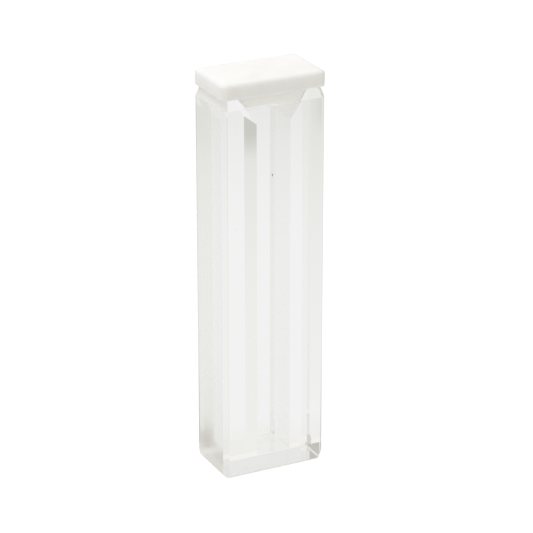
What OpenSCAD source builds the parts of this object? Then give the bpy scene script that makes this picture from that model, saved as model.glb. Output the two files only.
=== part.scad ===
// Semi-micro cuvette: a clear block of fused plates around a narrow chamber,
// with a white lid that rests on the rim and plugs the flared mouth.
// Sizes are in millimetres. The cell stands on Z = 0, centred on X and Y,
// and light passes through its two windows along Y.

/* [Cell] */
// Outer width, across the two side walls
cell_width = 12.5; // [11.5:0.1:14]
// Outer height of the glass
cell_height = 45; // [30:0.5:60]
// Length of the light path, which is the depth of the chamber
light_path = 5; // [3:0.5:10]
// Thickness of each window, front and back
window_thickness = 1.25; // [1:0.05:2]
// Thickness of the base under the chamber
base_thickness = 1.85; // [1:0.05:4]

/* [Chamber] */
// Width of the chamber between the side walls
chamber_width = 4.1; // [2:0.1:6]
// How far the chamber sits to the right of the middle
chamber_shift = 0.2; // [-0.4:0.05:0.4]
// Width of the flared mouth at the rim
mouth_width = 9; // [7:0.1:9.4]
// Depth of the flare below the rim
mouth_depth = 3.4; // [2:0.1:6]

/* [Bevels] */
// Bevel on the four upright edges
upright_bevel = 0.55; // [0.2:0.05:0.8]
// Bevel under the two side walls
side_base_bevel = 0.4; // [0.2:0.05:0.8]
// Bevel under the two windows
window_base_bevel = 0.3; // [0.1:0.05:0.8]
// How far each upright bevel is ground back at the base
corner_cut_width = 0.25; // [0.1:0.05:0.6]
// Height of that cut above the base
corner_cut_height = 1; // [0.5:0.1:3]
// Width of the steep bevel around the rim
rim_bevel_width = 0.5; // [0.2:0.05:0.7]
// Height of the steep bevel around the rim
rim_bevel_height = 1.2; // [0.4:0.05:2]

/* [Lid] */
// Height of the plate that covers the rim
lid_height = 1.8; // [1.6:0.05:4]
// Bevel on the plate's upright edges
lid_bevel = 0.45; // [0.2:0.05:1.2]
// Radius of the plate's upper edges
lid_edge_radius = 0.5; // [0.2:0.05:0.8]
// Depth of the tapered plug below the plate
plug_depth = 1.65; // [0.5:0.05:1.9]
// Gap between the plug and the mouth
plug_gap = 0.05; // [0.02:0.01:0.15]
// Film of air between the plate and the rim
seat_gap = 0.02; // [0.01:0.01:0.1]

/* [Hidden] */
$fn = 64;

cell_depth = light_path + 2 * window_thickness;
// How much narrower the flare gets on each side for each millimetre down
flare_slope = (mouth_width - chamber_width) / 2 / mouth_depth;
// How far a cut runs past the face that it opens
overshoot = 1;

// Half the width of the flared mouth at a depth below the rim
function flare_half(depth) = mouth_width / 2 - flare_slope * depth;

// Distance between two opposite flats that cut the corners off the cell's plan
function across_corners(bevel) = (cell_width + cell_depth - 2 * bevel) / sqrt(2);

// A drawing in X and Z, pulled along Y to a slab that is centred on it
module along_y(length) {
    rotate([90, 0, 0]) linear_extrude(length, center = true) children();
}

// The same drawing turned to face the side, and pulled along X
module along_x(length) {
    rotate([90, 0, 90]) linear_extrude(length, center = true) children();
}

// The same drawing turned to face one corner of the cell, and pulled right across it
module along_diagonal(turn) {
    rotate(turn) along_y(cell_width + cell_depth) children();
}

// An upright rectangle that stands on its base line, with its four corners cut off
module bevelled_rect(width, height, low_width, low_height, top_width, top_height) {
    half = width / 2;
    polygon([
        [-half + low_width, 0], [half - low_width, 0],
        [half, low_height], [half, height - top_height],
        [half - top_width, height], [-half + top_width, height],
        [-half, height - top_height], [-half, low_height]
    ]);
}

// The cell from above, as a rectangle with its corners cut off
module plan(bevel) {
    translate([0, -cell_depth / 2])
        bevelled_rect(cell_width, cell_depth, bevel, bevel, bevel, bevel);
}

// The cell as seen level, with its cuts at the base and at the rim
module cell_elevation(width, low_width, low_height) {
    bevelled_rect(width, cell_height, low_width, low_height, rim_bevel_width, rim_bevel_height);
}

// The lid's plate as seen level: flat below, with round upper corners
module lid_elevation(width) {
    side_height = lid_height - lid_edge_radius;
    translate([-width / 2, 0]) square([width, side_height]);
    translate([lid_edge_radius - width / 2, 0]) square([width - 2 * lid_edge_radius, lid_height]);
    for (side = [-1, 1])
        translate([side * (width / 2 - lid_edge_radius), side_height]) circle(lid_edge_radius);
}

// The bevelled block before the chamber is cut
module block() {
    corners = across_corners(upright_bevel);
    intersection() {
        linear_extrude(cell_height) plan(upright_bevel);
        along_y(cell_depth) cell_elevation(cell_width, side_base_bevel, side_base_bevel);
        along_x(cell_width) cell_elevation(cell_depth, window_base_bevel, window_base_bevel);
        along_diagonal(45) cell_elevation(corners, corner_cut_width, corner_cut_height);
        along_diagonal(-45) cell_elevation(corners, corner_cut_width, corner_cut_height);
    }
}

// The space inside: a straight chamber that flares out towards the rim
module chamber() {
    straight = chamber_width / 2;
    flare_start = cell_height - mouth_depth;
    top = cell_height + overshoot;
    rim_half = flare_half(-overshoot);
    along_y(light_path) translate([chamber_shift, 0]) polygon([
        [-straight, base_thickness], [straight, base_thickness],
        [straight, flare_start], [rim_half, top],
        [-rim_half, top], [-straight, flare_start]
    ]);
}

// The lid's plate: cut to the cell's plan, and rounded along every upper edge
module plate() {
    corners = across_corners(lid_bevel);
    intersection() {
        linear_extrude(lid_height) plan(lid_bevel);
        along_y(cell_depth) lid_elevation(cell_width);
        along_x(cell_width) lid_elevation(cell_depth);
        along_diagonal(45) lid_elevation(corners);
        along_diagonal(-45) lid_elevation(corners);
    }
}

// The plug under the plate, tapered to follow the flare all round with a small gap
module plug() {
    top_half = flare_half(0) - plug_gap;
    low_half = flare_half(plug_depth) - plug_gap;
    root = lid_height / 2;
    along_y(light_path - 2 * plug_gap) translate([chamber_shift, 0]) polygon([
        [-low_half, -plug_depth], [low_half, -plug_depth],
        [top_half, 0], [top_half, root], [-top_half, root], [-top_half, 0]
    ]);
}

// Clear cell: two windows, two side walls and a base, fused into one piece
module cell() {
    color([0.88, 0.92, 0.90, 0.4]) difference() {
        block();
        chamber();
    }
}

// White lid: a plate that rests on the rim, in one piece with its plug
module lid() {
    color("ivory") translate([0, 0, cell_height + seat_gap]) {
        plate();
        plug();
    }
}

cell();
lid();
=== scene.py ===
# %% [markdown]
# A cuvette is a small glass cell that holds a liquid while light is measured through it. This one is clear, with
# a narrow chamber, thick side walls and a white lid that rests in its flared mouth. The shapes come from the
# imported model, so this lesson is about the other half of a picture of glass: what its surfaces do to light, and
# what stands around it to be seen through it.

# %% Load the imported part
import math

import bpy
from mathutils import Matrix, Vector


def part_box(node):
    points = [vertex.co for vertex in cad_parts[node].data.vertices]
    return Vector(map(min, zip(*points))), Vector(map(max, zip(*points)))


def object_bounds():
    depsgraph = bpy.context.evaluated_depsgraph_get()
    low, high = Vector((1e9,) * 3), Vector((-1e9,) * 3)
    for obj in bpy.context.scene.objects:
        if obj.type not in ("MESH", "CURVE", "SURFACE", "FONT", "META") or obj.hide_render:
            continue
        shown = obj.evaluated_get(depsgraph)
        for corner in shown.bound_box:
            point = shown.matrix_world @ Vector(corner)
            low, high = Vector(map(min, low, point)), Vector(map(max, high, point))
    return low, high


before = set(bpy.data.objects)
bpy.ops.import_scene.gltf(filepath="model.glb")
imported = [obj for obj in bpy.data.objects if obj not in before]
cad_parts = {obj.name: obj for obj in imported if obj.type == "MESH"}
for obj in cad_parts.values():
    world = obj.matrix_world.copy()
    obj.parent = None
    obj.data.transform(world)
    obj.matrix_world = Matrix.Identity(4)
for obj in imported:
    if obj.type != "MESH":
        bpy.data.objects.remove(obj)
cad_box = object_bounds()
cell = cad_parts["cell"]
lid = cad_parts["lid"]
scene = bpy.context.scene
MM = 0.001
print("nodes:", sorted(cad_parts))

# %% [markdown]
# The camera comes first, because every later choice is judged through it. The photograph was taken with a long
# lens, a little from above and from the left of the front window. We build the camera's axes from those two
# angles, and step back along the view. The picture's centre sits some way above the foot of the cell, which is
# the origin, so the camera is slid by that much in its own picture plane and needs no lens shift.

# %% Camera
PHOTO_SIDE = 533
SENSOR = 36.0
FOCAL_PIXELS = 2529.5
LOOK_DOWN = math.radians(22.20)
LOOK_RIGHT = math.radians(26.44)
CAMERA_DISTANCE = 292.1 * MM
CENTRE_RIGHT = 0.73 * MM
CENTRE_UP = 21.87 * MM

forward = Vector((
    math.sin(LOOK_RIGHT) * math.cos(LOOK_DOWN),
    math.cos(LOOK_RIGHT) * math.cos(LOOK_DOWN),
    -math.sin(LOOK_DOWN),
))
rightward = Vector((math.cos(LOOK_RIGHT), -math.sin(LOOK_RIGHT), 0))
upward = rightward.cross(forward)

lens = bpy.data.cameras.new("photo_lens")
lens.sensor_width = SENSOR
lens.lens = FOCAL_PIXELS * SENSOR / PHOTO_SIDE
lens.clip_start = 1 * MM
camera = bpy.data.objects.new("photo_camera", lens)
scene.collection.objects.link(camera)
place = rightward * CENTRE_RIGHT + upward * CENTRE_UP - forward * CAMERA_DISTANCE
axes = Matrix((rightward, upward, -forward)).transposed().to_4x4()
camera.matrix_world = Matrix.Translation(place) @ axes
scene.camera = camera
print("camera at", [round(v / MM, 1) for v in place], "mm, lens", round(lens.lens, 1), "mm")

# %% [markdown]
# A finish is a small network of nodes, and networks are easier to read as sums than as wiring. The class below
# wraps one output socket. Adding or multiplying two of them adds a Math node, and any other node comes from the
# one method, which takes the node's type, the values or links of its sockets, and its settings.

# %% Shader maths as expressions
class Wire:
    """One output socket in a node tree, with arithmetic on its value."""

    def __init__(self, tree, socket=None):
        self.tree = tree
        self.socket = socket

    def node(self, kind, inputs=None, output=0, **settings):
        """Adds a node, sets it up, fills its sockets, and returns one of its outputs."""
        added = self.tree.nodes.new(kind)
        for name, value in settings.items():
            setattr(added, name, value)
        for key, value in (inputs or {}).items():
            socket = added.inputs[key]
            if isinstance(value, Wire):
                self.tree.links.new(value.socket, socket)
            else:
                socket.default_value = value
        return Wire(self.tree, added.outputs[output] if added.outputs else None)

    def math(self, operation, *values):
        return self.node("ShaderNodeMath", dict(enumerate(values)), operation=operation)

    def __add__(self, other):
        return self.math("ADD", self, other)

    __radd__ = __add__

    def __sub__(self, other):
        return self.math("SUBTRACT", self, other)

    def __rsub__(self, other):
        return self.math("SUBTRACT", other, self)

    def __neg__(self):
        return 0 - self

    def __mul__(self, other):
        return self.math("MULTIPLY", self, other)

    __rmul__ = __mul__

    def __truediv__(self, other):
        return self.math("DIVIDE", self, other)

    def __abs__(self):
        return self.math("ABSOLUTE", self)

    def root(self):
        return self.math("SQRT", self)

    def at_least(self, other):
        return self.math("MAXIMUM", self, other)

    def rises(self, low, high):
        """0 up to low, 1 from high on, and a soft step between them."""
        return self.node(
            "ShaderNodeMapRange",
            {"Value": self, "From Min": low, "From Max": high},
            interpolation_type="SMOOTHSTEP",
        )

    def blend(self, first, second):
        """The first colour where this value is 0, and the second where it is 1."""
        return self.node(
            "ShaderNodeMix", {0: self, 6: first, 7: second}, output=2, data_type="RGBA"
        )

    def parts(self):
        """The X, Y and Z of a vector, as three values."""
        return [self.node("ShaderNodeSeparateXYZ", {0: self}, output=i) for i in range(3)]

    def length(self):
        return self.node("ShaderNodeVectorMath", {0: self}, output="Value", operation="LENGTH")


def empty_tree(holder):
    """Clears the node tree of a material or a world, ready for its own nodes."""
    holder.use_nodes = True
    holder.node_tree.nodes.clear()
    return Wire(holder.node_tree)


def millimetres(start):
    """The Object coordinates of a point, in millimetres, as one vector."""
    place = start.node("ShaderNodeTexCoord", output="Object")
    return start.node("ShaderNodeVectorMath", {0: place, 3: 1 / MM}, operation="SCALE")


def grey(level):
    return (level, level, level, 1)


print("shader maths ready")

# %% [markdown]
# The cell is fused from polished plates, so its windows are clear. Some of its edges are not: the bevels around
# the base, the rim and the flare inside the mouth are ground, and ground glass scatters what passes through. The
# mesh could be split by face, but these places are easy to name by their sizes, and a mask leaves the mesh alone.
# A flat that cuts off the corner between two faces is where the distances to the two faces, each divided by the
# flat's size on that face, add up to 1 or less. Under the right wall, only the lowest line of the bevel is ground.

# %% Where the glass is ground
HALF_WIDTH = cad_box[1][0] / MM
HALF_DEPTH = cad_box[1][1] / MM
GLASS_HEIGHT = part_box("cell")[1].z / MM
UPRIGHT_BEVEL = 0.55
SIDE_BASE_BEVEL = 0.4
WINDOW_BASE_BEVEL = 0.3
CORNER_CUT_WIDTH = 0.25
CORNER_CUT_HEIGHT = 1.0
RIM_BEVEL_WIDTH = 0.5
RIM_BEVEL_HEIGHT = 1.2
CHAMBER_SHIFT = 0.2
CHAMBER_WIDTH = 4.1
MOUTH_WIDTH = 9.0
MOUTH_DEPTH = 3.4
WINDOW_THICKNESS = 1.25
EDGE_CHIP = 0.04
RIGHT_LINE_TOP = (0.13, 0.19)


def cut_corner(first, first_size, second, second_size):
    """1 on the flat that cuts off the corner between two faces, given the distances to them."""
    return 1 - (first / first_size + second / second_size).rises(1, 1 + EDGE_CHIP)


def from_faces(x, y):
    """The distances inwards from the side walls, from the windows and from the upright bevels."""
    from_side = HALF_WIDTH - abs(x)
    from_window = HALF_DEPTH - abs(y)
    from_corner = (from_side + from_window - UPRIGHT_BEVEL) / math.sqrt(2)
    return from_side, from_window, from_corner


def base_masks(x, y, z):
    """The ground flats at the base: under the side walls, under the windows, and at the corners."""
    from_side, from_window, from_corner = from_faces(x, y)
    side = cut_corner(from_side, SIDE_BASE_BEVEL, z, SIDE_BASE_BEVEL)
    side = side * (1 - x.rises(0, 1) * z.rises(*RIGHT_LINE_TOP))
    window = cut_corner(from_window, WINDOW_BASE_BEVEL, z, WINDOW_BASE_BEVEL)
    corner = cut_corner(from_corner, CORNER_CUT_WIDTH, z, CORNER_CUT_HEIGHT)
    return side, window, corner


def mouth_masks(x, y, z):
    """The flare inside the mouth, and the rim with its steep bevels."""
    from_side, from_window, from_corner = from_faces(x, y)
    depth = GLASS_HEIGHT - z
    slope = (MOUTH_WIDTH - CHAMBER_WIDTH) / 2 / MOUTH_DEPTH
    off_flare = abs(abs(x - CHAMBER_SHIFT) - (MOUTH_WIDTH / 2 - slope * depth))
    flare = 1 - off_flare.rises(EDGE_CHIP, 2 * EDGE_CHIP)
    flare = flare * (1 - depth.rises(MOUTH_DEPTH, MOUTH_DEPTH + EDGE_CHIP))
    flare = flare * from_window.rises(WINDOW_THICKNESS - 2 * EDGE_CHIP, WINDOW_THICKNESS - EDGE_CHIP)
    rim = 1 - depth.rises(0, EDGE_CHIP)
    for face in (from_side, from_corner):
        rim = rim.at_least(cut_corner(face, RIM_BEVEL_WIDTH, depth, RIM_BEVEL_HEIGHT))
    return flare, rim


print("cell is", 2 * HALF_WIDTH, "by", 2 * HALF_DEPTH, "by", GLASS_HEIGHT, "mm")

# %% [markdown]
# The side walls carry no measuring light, so they are polished less than the windows, and where they meet the
# upright bevels, two opposite edges carry a thin grey line of painted shade, darker near the base. Faces that
# look the same way can be told from the rest by their normals: a wall's normal lies along X, and a bevel's lies
# half along X and half along Y. The painted lines then need only their distance from the edge. The left wall is
# also scuffed on its lower half, as by years of sliding into a holder, and the polished ends of the base plate
# have gone hazy.

# %% Where the glass is worn, and the painted edge shade
WALL_FACING = (0.98, 0.99)
BEVEL_FACING = (0.45, 0.49)
EDGE_SHADE_WIDTH = 0.26
OPPOSITE_EDGES = (10, 15)
SCUFF_PLACE = (HALF_WIDTH - 1, HALF_WIDTH - 0.5)
SCUFF_TOP = (8, 20)
END_TOP = (1.55, 1.85)


def wear_and_edge_shade_masks(start, x, y, z):
    """The side walls and the upright bevels, the painted shade lines, the scuffed wall and the hazy ends."""
    normal = start.node("ShaderNodeNewGeometry", output="Normal")
    across, along = [abs(part) for part in normal.parts()[:2]]
    wall = across.rises(*WALL_FACING)
    bevel = (across * along).rises(*BEVEL_FACING)
    # Painted shade: a thin grey line along two opposite upright edges.
    from_edge = abs(HALF_DEPTH - UPRIGHT_BEVEL - abs(y))
    painted_edge_shade = 1 - from_edge.rises(EDGE_SHADE_WIDTH - EDGE_CHIP, EDGE_SHADE_WIDTH)
    painted_edge_shade = painted_edge_shade * wall.at_least(bevel) * (-(x * y)).rises(*OPPOSITE_EDGES)
    scuffed = (-x).rises(*SCUFF_PLACE) * (1 - z.rises(*SCUFF_TOP))
    hazy = wall * (1 - z.rises(*END_TOP))
    return wall, bevel, painted_edge_shade, scuffed, hazy


# These lines are painted shade along two upright edges.
print("worn lines", EDGE_SHADE_WIDTH, "mm to each side of the edge")

# %% [markdown]
# A few specks of dust cling to the front window. Each could be a tiny mesh, but dust has no thickness to speak
# of here, so each is a soft dot in the colour, found by the distance from its place in units of its own size.

# %% Dust on the front window
SPECK_COLOUR = (0.10, 0.10, 0.09, 1)
SPECK_EDGE = (0.6, 1.2)
SPECKS = [
    ((-0.32, -3.75, 35.81), (0.075, 0.1, 0.19), 1.0),
    ((-4.70, -3.75, 30.20), (0.07, 0.1, 0.07), 0.35),
    ((2.90, -3.75, 28.64), (0.07, 0.1, 0.07), 0.35),
    ((-3.16, -3.75, 17.16), (0.07, 0.1, 0.07), 0.25),
    ((-2.34, -3.75, 2.01), (0.08, 0.1, 0.08), 0.2),
    ((-3.50, -3.75, 0.92), (0.05, 0.1, 0.2), 0.15),
]


def speckled(point):
    """The specks of dust, each a soft dot with its own place, size and weight."""
    dust = None
    for place, size, weight in SPECKS:
        aside = point.node("ShaderNodeVectorMath", {0: point, 1: place}, operation="SUBTRACT")
        scaled = point.node("ShaderNodeVectorMath", {0: aside, 1: size}, operation="DIVIDE")
        dot = (1 - scaled.length().rises(*SPECK_EDGE)) * weight
        dust = dot if dust is None else dust.at_least(dot)
    return dust


print("specks:", len(SPECKS))

# %% [markdown]
# Clear glass needs only a few settings on the Principled shader: full transmission, and the refractive index of
# fused quartz. The masks then give each face its tint and its roughness. Ground glass asks for more. Roughness
# alone turns it dark, because most light meets it at a slant from within, while the real one glows like milk. So
# a share of a scattering shader is mixed in: Diffuse where the face is seen from the air, and Translucent where
# it is seen from within the glass. Backfacing tells the two apart.

# %% Glass finish
QUARTZ_INDEX = 1.46
WINDOW_TINT = grey(1.0)
WALL_TINT = (0.955, 0.957, 0.943, 1)
BEVEL_TINT = (0.95, 0.95, 0.94, 1)
# Painted shade: the grey lines along two upright edges, darker near the base.
EDGE_SHADE_TINT = (0.70, 0.70, 0.69, 1)
EDGE_SHADE_LOW_TINT = (0.36, 0.36, 0.35, 1)
EDGE_SHADE_LOW_TOP = (5, 14)
GROUND_ROUGHNESS = 0.6
WALL_ROUGHNESS = 0.05
SCUFF_ROUGHNESS = 0.32
SIDE_MILK = 0.8
CORNER_MILK = 0.15
BACK_CORNER_MILK = 0.6
BASE_OUTER_MILK = 0.3
FLARE_MILK = 0.45
RIM_MILK = 0.6
END_MILK = 0.6
OUTER_WHITE = (0.93, 0.915, 0.865, 1)
INNER_WHITE = (0.97, 0.965, 0.945, 1)


def clear_glass():
    material = bpy.data.materials.new("fused_quartz")
    start = empty_tree(material)
    point = millimetres(start)
    x, y, z = point.parts()
    inside = start.node("ShaderNodeNewGeometry", output="Backfacing")
    outside = 1 - inside
    side, window, corner = base_masks(x, y, z)
    flare, rim = mouth_masks(x, y, z)
    flare = flare * outside
    wall, bevel, painted_edge_shade, scuffed, hazy = wear_and_edge_shade_masks(start, x, y, z)

    tint = bevel.blend(wall.blend(WINDOW_TINT, WALL_TINT), BEVEL_TINT)
    # Painted shade darkens the tint along two upright edges, more so near the base.
    tint = painted_edge_shade.blend(tint, z.rises(*EDGE_SHADE_LOW_TOP).blend(EDGE_SHADE_LOW_TINT, EDGE_SHADE_TINT))
    ground = side.at_least(window).at_least(corner).at_least(flare).at_least(rim)
    wall_roughness = WALL_ROUGHNESS + (SCUFF_ROUGHNESS - WALL_ROUGHNESS) * scuffed
    polished = start.node("ShaderNodeBsdfPrincipled", {
        "Base Color": speckled(point).blend(tint, SPECK_COLOUR),
        "Roughness": (ground * GROUND_ROUGHNESS).at_least(wall * wall_roughness),
        "IOR": QUARTZ_INDEX,
        "Transmission Weight": 1.0,
    })

    corner_milk = CORNER_MILK + (BACK_CORNER_MILK - CORNER_MILK) * y.rises(0, 1)
    base_milk = (side * SIDE_MILK).at_least(window).at_least(corner * corner_milk)
    base_milk = base_milk * inside.at_least(BASE_OUTER_MILK)
    mouth_milk = (flare * FLARE_MILK).at_least(rim * RIM_MILK)
    share = base_milk.at_least(mouth_milk).at_least(hazy * outside * END_MILK)
    outer_milk = start.node("ShaderNodeBsdfDiffuse", {"Color": OUTER_WHITE})
    inner_milk = start.node("ShaderNodeBsdfTranslucent", {"Color": INNER_WHITE})
    milk = start.node("ShaderNodeMixShader", {0: inside, 1: outer_milk, 2: inner_milk})
    mixed = start.node("ShaderNodeMixShader", {0: share, 1: polished, 2: milk})
    start.node("ShaderNodeOutputMaterial", {"Surface": mixed})
    return material


cell.data.materials.clear()
cell.data.materials.append(clear_glass())
print("glass on", cell.name)

# %% [markdown]
# The lid is cut from a white fluoropolymer, a waxy plastic that is never quite even: the surface is dull, light
# sinks in a little, and handling leaves faint cloudy patches. A plain white would look like card. Subsurface
# gives the depth, and two noises give the clouds and the fine tool marks.

# %% Lid finish
LID_WHITE = (0.93, 0.925, 0.90, 1)
LID_CLOUD = (0.90, 0.89, 0.86, 1)
LID_INDEX = 1.35
LID_DEPTH = 1.5 * MM
LID_REACH = (1.0, 0.95, 0.85)
LID_ROUGHNESS = 0.42
MARK_ROUGHNESS = 0.1
MARK_STRENGTH = 0.15
MARK_DEPTH = 0.02 * MM
CLOUD_EDGE = (0.4, 0.7)


def waxy_white():
    material = bpy.data.materials.new("white_fluoropolymer")
    start = empty_tree(material)
    point = millimetres(start)
    clouds = start.node("ShaderNodeTexNoise", {"Vector": point, "Scale": 0.35, "Detail": 3.0})
    marks = start.node("ShaderNodeTexNoise", {"Vector": point, "Scale": 6.0, "Detail": 2.0})
    bump = start.node(
        "ShaderNodeBump", {"Strength": MARK_STRENGTH, "Distance": MARK_DEPTH, "Height": marks}
    )
    shader = start.node("ShaderNodeBsdfPrincipled", {
        "Base Color": clouds.rises(*CLOUD_EDGE).blend(LID_WHITE, LID_CLOUD),
        "Roughness": LID_ROUGHNESS + MARK_ROUGHNESS * marks,
        "IOR": LID_INDEX,
        "Subsurface Weight": 1.0,
        "Subsurface Radius": LID_REACH,
        "Subsurface Scale": LID_DEPTH,
        "Normal": bump,
    })
    start.node("ShaderNodeOutputMaterial", {"Surface": shader})
    return material


lid.data.materials.clear()
lid.data.materials.append(waxy_white())
print("waxy white on", lid.name)

# %% [markdown]
# Clear glass has no look of its own: it shows what lies behind and beside it. So the stage is part of the
# material. The floor is a white sheet that the camera sees as plain white, with the object's faint shadow. Rays
# that have come through the glass see the sheet at its own level instead, and each face of the cell turns the
# view another way: to the right, to the left, or back to the front. So the sheet has three levels that blend
# around the cell and fade with distance, a faint contact shadow, and one dim spot behind on the left, which is
# what the tall dark panel inside the glass shows. Rays that milky glass has scattered see a plain white.

# %% Levels of the floor
FLOOR_RIGHT = (0.890, 0.890, 0.892, 1)
FLOOR_RIGHT_FAR = (0.64, 0.64, 0.61, 1)
RIGHT_FADE = (65, 240)
FLOOR_LEFT = (0.852, 0.854, 0.832, 1)
FLOOR_LEFT_FAR = (0.70, 0.70, 0.67, 1)
LEFT_FADE = (30, 180)
FLOOR_FRONT = (0.858, 0.862, 0.832, 1)
FLOOR_FRONT_FAR = (0.77, 0.775, 0.745, 1)
FRONT_FADE = (50, 150)
AROUND_FADE = (-0.3, 0.5)
FLOOR_NEAR = (0.86, 0.857, 0.835, 1)
NEAR_FADE = (6, 12)
FLOOR_SPOT = (0.555, 0.56, 0.51, 1)
SPOT_PLACE = (-55, 110)
SPOT_WAY = (0.45, -0.89)
SPOT_LENGTH = 20
SPOT_WIDTH = 4.5
SPOT_FADE = (0.25, 1.0)


def floor_level(point):
    """The colour of the sheet at a point, as it is seen through the glass."""
    x, y, _ = point.parts()
    away = point.length()
    leftward = (-(x / away)).rises(*AROUND_FADE)
    frontward = (-(y / away)).rises(*AROUND_FADE)
    right = away.rises(*RIGHT_FADE).blend(FLOOR_RIGHT, FLOOR_RIGHT_FAR)
    left = away.rises(*LEFT_FADE).blend(FLOOR_LEFT, FLOOR_LEFT_FAR)
    front = away.rises(*FRONT_FADE).blend(FLOOR_FRONT, FLOOR_FRONT_FAR)
    sides = frontward.blend(leftward.blend(right, left), front)
    from_x, from_y = x - SPOT_PLACE[0], y - SPOT_PLACE[1]
    along = (from_x * SPOT_WAY[0] + from_y * SPOT_WAY[1]) / SPOT_LENGTH
    across = (from_x * SPOT_WAY[1] - from_y * SPOT_WAY[0]) / SPOT_WIDTH
    off_spot = (along * along + across * across).root()
    spotted = off_spot.rises(*SPOT_FADE).blend(FLOOR_SPOT, sides)
    return away.rises(*NEAR_FADE).blend(FLOOR_NEAR, spotted)


print("dim spot at", SPOT_PLACE, "mm")

# %% [markdown]
# The sheet itself is one large square, just under the base so that glass and floor never share a plane. Light
# Path tells which kind of ray has arrived. Rays from the camera, and those sent on by glass or gloss, see a glow at
# the level worked out above. All others see matt paper, which throws light back up at the lid.

# %% Floor
FLOOR_HALF = 1.5
FLOOR_DROP = 0.03 * MM
FLOOR_WHITE = grey(1.1)
FLOOR_PALE = grey(0.82)
SHADOW_SHARE = 0.15
SCATTER_VIEW = (0.925, 0.92, 0.905, 1)


def seen(start):
    """Masks for rays from the camera, for those and rays sent on by glass, and for rays scattered by milk."""
    camera_ray, glossy, through, diffuse = [
        start.node("ShaderNodeLightPath", output=name)
        for name in ("Is Camera Ray", "Is Glossy Ray", "Is Transmission Ray", "Is Diffuse Ray")
    ]
    return camera_ray, camera_ray.at_least(glossy).at_least(through), through * diffuse


def sheet_floor():
    mesh = bpy.data.meshes.new("floor")
    corners = [(-1, -1), (1, -1), (1, 1), (-1, 1)]
    places = [(a * FLOOR_HALF, b * FLOOR_HALF, -FLOOR_DROP) for a, b in corners]
    mesh.from_pydata(places, [], [(0, 1, 2, 3)])
    floor = bpy.data.objects.new("floor", mesh)
    scene.collection.objects.link(floor)
    material = bpy.data.materials.new("white_sheet")
    mesh.materials.append(material)
    start = empty_tree(material)
    level = floor_level(millimetres(start))
    direct, shown, scattered = seen(start)
    view = direct.blend(scattered.blend(level, SCATTER_VIEW), FLOOR_WHITE)
    glow = start.node("ShaderNodeEmission", {"Color": view})
    paper = start.node("ShaderNodeBsdfDiffuse", {"Color": FLOOR_PALE})
    share = shown * (1 - SHADOW_SHARE * direct)
    mixed = start.node("ShaderNodeMixShader", {0: share, 1: paper, 2: glow})
    start.node("ShaderNodeOutputMaterial", {"Surface": mixed})
    material.cycles.emission_sampling = "NONE"
    return floor


floor = sheet_floor()
print("floor", 2 * FLOOR_HALF, "m wide")

# %% [markdown]
# Around the floor stands the room. The base and the rim turn the view upwards, so the glass sees the room too: an
# even white, dimmer in front, where the camera stands, and in one patch behind on the left. The light that falls
# on the lid is kept apart from that view, a little warmer from the front and stronger from the left.

# %% Room
ROOM_VIEW = (0.80, 0.80, 0.785, 1)
ROOM_SHADE = (0.52, 0.51, 0.46, 1)
SHADE_WAY = (-0.414, 0.810, 0.415)
SHADE_FADE = (0.955, 0.99)
ROOM_FRONT = (0.59, 0.57, 0.52, 1)
FRONT_WAY = (0.38, -0.81, 0.44)
ROOM_FRONT_FADE = (0.7, 0.9)
ROOM_WHITE = grey(1.0)
LIGHT_FRONT = (0.95, 0.925, 0.845, 1)
LIGHT_LEFT = (1.095, 1.08, 1.035, 1)
LIGHT_FADE = (-0.2, 0.9)
ROOM_STRENGTH = 0.6


def toward(direction, way):
    """1 where a direction points the given way, and less as it turns from it."""
    return direction.node(
        "ShaderNodeVectorMath", {0: direction, 1: way}, output="Value", operation="DOT_PRODUCT"
    )


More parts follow.
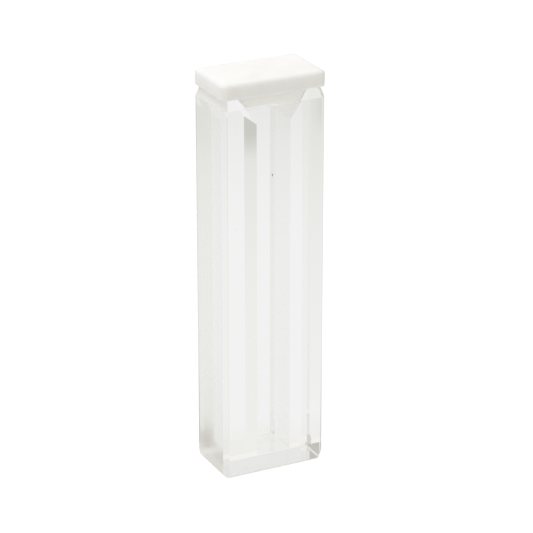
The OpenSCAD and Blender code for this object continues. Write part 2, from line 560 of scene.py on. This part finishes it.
def room():
    world = bpy.data.worlds.new("room")
    scene.world = world
    world.cycles.sampling_method = "NONE"
    start = empty_tree(world)
    direction = start.node("ShaderNodeTexCoord", output="Generated")
    x, _, _ = direction.parts()
    direct, shown, scattered = seen(start)
    view = toward(direction, SHADE_WAY).rises(*SHADE_FADE).blend(ROOM_VIEW, ROOM_SHADE)
    view = toward(direction, FRONT_WAY).rises(*ROOM_FRONT_FADE).blend(view, ROOM_FRONT)
    view = direct.blend(scattered.blend(view, SCATTER_VIEW), ROOM_WHITE)
    light = (-x).rises(*LIGHT_FADE).blend(LIGHT_FRONT, LIGHT_LEFT)
    lit = start.node("ShaderNodeBackground", {"Color": light, "Strength": ROOM_STRENGTH})
    sight = start.node("ShaderNodeBackground", {"Color": view})
    mixed = start.node("ShaderNodeMixShader", {0: shown, 1: lit, 2: sight})
    start.node("ShaderNodeOutputWorld", {"Surface": mixed})
    return world


print("room:", room().name)

# %% [markdown]
# One broad lamp above gives the lid's top its cooler, brighter white. The glass would show the lamp as hard
# sparkles in its bevels, which the photograph doesn't have, so the lamp is hidden from gloss and from glass.

# %% Lamp
LAMP_PLACE = (-0.1, 0.05, 0.5)
LAMP_AIM = (0, 0, 30 * MM)
LAMP_SIZE = 0.4
LAMP_POWER = 1.24
LAMP_COLOUR = (0.985, 1.0, 1.09)


def top_lamp():
    data = bpy.data.lights.new("top_lamp", "AREA")
    data.size = LAMP_SIZE
    data.energy = LAMP_POWER
    data.color = LAMP_COLOUR
    lamp = bpy.data.objects.new("top_lamp", data)
    scene.collection.objects.link(lamp)
    lamp.location = LAMP_PLACE
    lamp.rotation_euler = (Vector(LAMP_AIM) - Vector(LAMP_PLACE)).to_track_quat("-Z", "Y").to_euler()
    lamp.visible_glossy = False
    lamp.visible_transmission = False
    return lamp


print("lamp:", top_lamp().name)

# %% [markdown]
# Colours are written as they should look, so the view transform is the plain one. Light runs down a thin window
# as in a light pipe, from face to face, so the glass needs many bounces, or its deepest corners go black. Gloss is
# not blurred, which keeps the plug sharp through the glass, and a limit on bright samples keeps out stray dots.

# %% Colour and bounces
BOUNCES = 96
BRIGHTEST_SAMPLE = 1.2

scene.view_settings.view_transform = "Standard"
scene.cycles.max_bounces = BOUNCES
scene.cycles.transmission_bounces = BOUNCES
scene.cycles.glossy_bounces = BOUNCES
scene.cycles.blur_glossy = 0
scene.cycles.sample_clamp_indirect = BRIGHTEST_SAMPLE
print("bounces:", scene.cycles.max_bounces)
